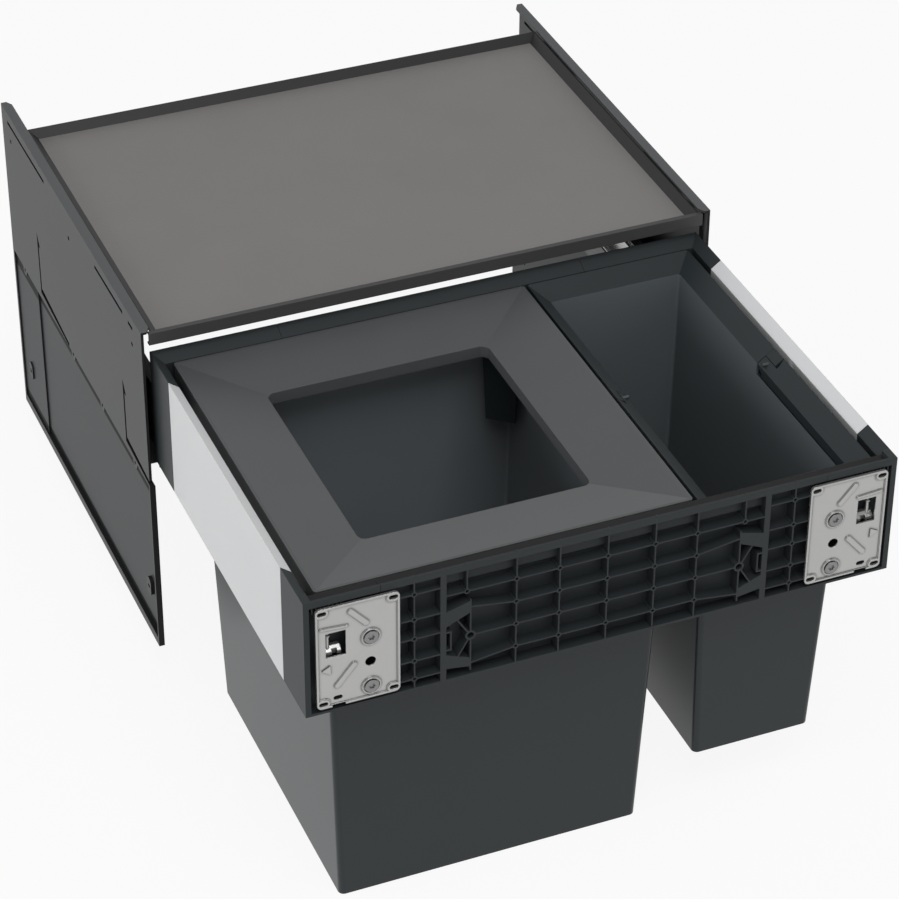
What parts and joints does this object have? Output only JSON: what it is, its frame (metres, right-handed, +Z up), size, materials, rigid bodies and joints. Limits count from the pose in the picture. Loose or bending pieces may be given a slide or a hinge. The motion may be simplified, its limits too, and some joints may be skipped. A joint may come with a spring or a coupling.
{
  "type": "pull out trash cabinet",
  "caption": "Pull-out waste sorting insert for a kitchen base unit: fixed side panels with cover tray, sliding frame with a large and a small bin.",
  "frame": {"origin": "middle of the base of the whole part, drawer fully open, level with the underside of the large bin", "axes": "+X to the right seen from the front, +Y to the back of the cabinet, +Z up"},
  "size_m": [0.562, 0.8379, 0.398],
  "materials": {
    "side_panel": "matt anthracite plastic, fine grain",
    "tray": "satin grey painted sheet",
    "dark_trim": "satin black painted sheet",
    "dark_steel": "dark grey coated steel",
    "zinc": "zinc plated, satin",
    "ball_steel": "polished steel",
    "cage": "natural plastic",
    "light_bar": "silver grey powder coat",
    "frame_plastic": "matt anthracite plastic",
    "bin_plastic": "matt anthracite plastic",
    "damper_case": "dark grey plastic"
  },
  "bodies": {
    "cabinet_frame": {"left_side_panel": "side_panel", "right_side_panel": "side_panel", "cover_tray": "tray", "tray_front_trim": "dark_trim", "left_cabinet_rail": "dark_steel", "right_cabinet_rail": "dark_steel", "rail_screws": "zinc", "left_soft_close_case": "damper_case", "right_soft_close_case": "damper_case", "left_soft_close_damper": "zinc", "right_soft_close_damper": "zinc", "left_soft_close_catch": "damper_case", "right_soft_close_catch": "damper_case", "left_closing_spring": "zinc", "right_closing_spring": "zinc"},
    "left_outer_cage": {"left_outer_ball_cage": "cage", "left_outer_balls": "ball_steel"},
    "right_outer_cage": {"right_outer_ball_cage": "cage", "right_outer_balls": "ball_steel"},
    "left_middle_channel": {"left_middle_rail": "zinc"},
    "right_middle_channel": {"right_middle_rail": "zinc"},
    "left_inner_cage": {"left_inner_ball_cage": "cage", "left_inner_balls": "ball_steel"},
    "right_inner_cage": {"right_inner_ball_cage": "cage", "right_inner_balls": "ball_steel"},
    "drawer": {"left_drawer_rail": "zinc", "right_drawer_rail": "zinc", "rail_rivets": "zinc", "left_side_bar": "light_bar", "right_side_bar": "light_bar", "rear_bar": "frame_plastic", "left_rear_corner": "frame_plastic", "right_rear_corner": "frame_plastic", "front_bar": "frame_plastic", "front_bar_ledge": "frame_plastic", "left_front_corner": "frame_plastic", "right_front_corner": "frame_plastic", "left_front_plate": "zinc", "right_front_plate": "zinc", "plate_screws": "zinc"},
    "left_adjuster_spindle": {"left_height_adjuster": "zinc"},
    "right_adjuster_spindle": {"right_height_adjuster": "zinc"},
    "left_adjuster_nut": {"left_adjuster_block": "zinc"},
    "right_adjuster_nut": {"right_adjuster_block": "zinc"},
    "large_waste_bin": {"large_bin": "bin_plastic"},
    "bag_holder": {"bag_frame": "bin_plastic", "left_bag_clip": "bin_plastic", "right_bag_clip": "bin_plastic"},
    "small_waste_bin": {"small_bin": "bin_plastic", "handle_pins": "dark_steel"},
    "bin_handle": {"small_bin_handle": "bin_plastic"}
  },
  "joints": [
    {"name": "drawer_slide", "type": "slide", "parent": "cabinet_frame", "child": "drawer", "axis": [0, -1, 0], "range_m": [-0.388, 0]},
    {"name": "left_outer_cage_slide", "type": "slide", "parent": "cabinet_frame", "child": "left_outer_cage", "axis": [0, -1, 0], "range_m": [-0.097, 0]},
    {"name": "left_middle_channel_slide", "type": "slide", "parent": "cabinet_frame", "child": "left_middle_channel", "axis": [0, -1, 0], "range_m": [-0.194, 0]},
    {"name": "left_inner_cage_slide", "type": "slide", "parent": "cabinet_frame", "child": "left_inner_cage", "axis": [0, -1, 0], "range_m": [-0.291, 0]},
    {"name": "right_outer_cage_slide", "type": "slide", "parent": "cabinet_frame", "child": "right_outer_cage", "axis": [0, -1, 0], "range_m": [-0.097, 0]},
    {"name": "right_middle_channel_slide", "type": "slide", "parent": "cabinet_frame", "child": "right_middle_channel", "axis": [0, -1, 0], "range_m": [-0.194, 0]},
    {"name": "right_inner_cage_slide", "type": "slide", "parent": "cabinet_frame", "child": "right_inner_cage", "axis": [0, -1, 0], "range_m": [-0.291, 0]},
    {"name": "left_adjuster_climb", "type": "slide", "parent": "drawer", "child": "left_adjuster_nut", "axis": [0, 0, 1], "range_m": [-0.002, 0.002]},
    {"name": "left_adjuster_turn", "type": "hinge", "parent": "drawer", "child": "left_adjuster_spindle", "pos_m": [-0.2492, -0.40945, 0.30164], "axis": [0, 0, 1], "range_deg": [-720, 720]},
    {"name": "right_adjuster_climb", "type": "slide", "parent": "drawer", "child": "right_adjuster_nut", "axis": [0, 0, 1], "range_m": [-0.002, 0.002]},
    {"name": "right_adjuster_turn", "type": "hinge", "parent": "drawer", "child": "right_adjuster_spindle", "pos_m": [0.2492, -0.40945, 0.30164], "axis": [0, 0, 1], "range_deg": [-720, 720]},
    {"name": "large_bin_lift", "type": "slide", "parent": "drawer", "child": "large_waste_bin", "axis": [0, 0, 1], "range_m": [0, 0.36]},
    {"name": "bag_holder_lift", "type": "slide", "parent": "large_waste_bin", "child": "bag_holder", "axis": [0, 0, 1], "range_m": [0, 0.13]},
    {"name": "small_bin_lift", "type": "slide", "parent": "drawer", "child": "small_waste_bin", "axis": [0, 0, 1], "range_m": [0, 0.33]},
    {"name": "bin_handle_turn", "type": "hinge", "parent": "small_waste_bin", "child": "bin_handle", "pos_m": [0, -0.22595, 0.356], "axis": [-1, 0, 0], "range_deg": [0, 95]}
  ],
  "couplings": [
    {"joint": "left_outer_cage_slide", "follows": "drawer_slide", "ratio": 0.25},
    {"joint": "left_middle_channel_slide", "follows": "drawer_slide", "ratio": 0.5},
    {"joint": "left_inner_cage_slide", "follows": "drawer_slide", "ratio": 0.75},
    {"joint": "right_outer_cage_slide", "follows": "drawer_slide", "ratio": 0.25},
    {"joint": "right_middle_channel_slide", "follows": "drawer_slide", "ratio": 0.5},
    {"joint": "right_inner_cage_slide", "follows": "drawer_slide", "ratio": 0.75},
    {"joint": "left_adjuster_turn", "follows": "left_adjuster_climb", "rad_per_m": 6283},
    {"joint": "right_adjuster_turn", "follows": "right_adjuster_climb", "rad_per_m": 6283}
  ]
}
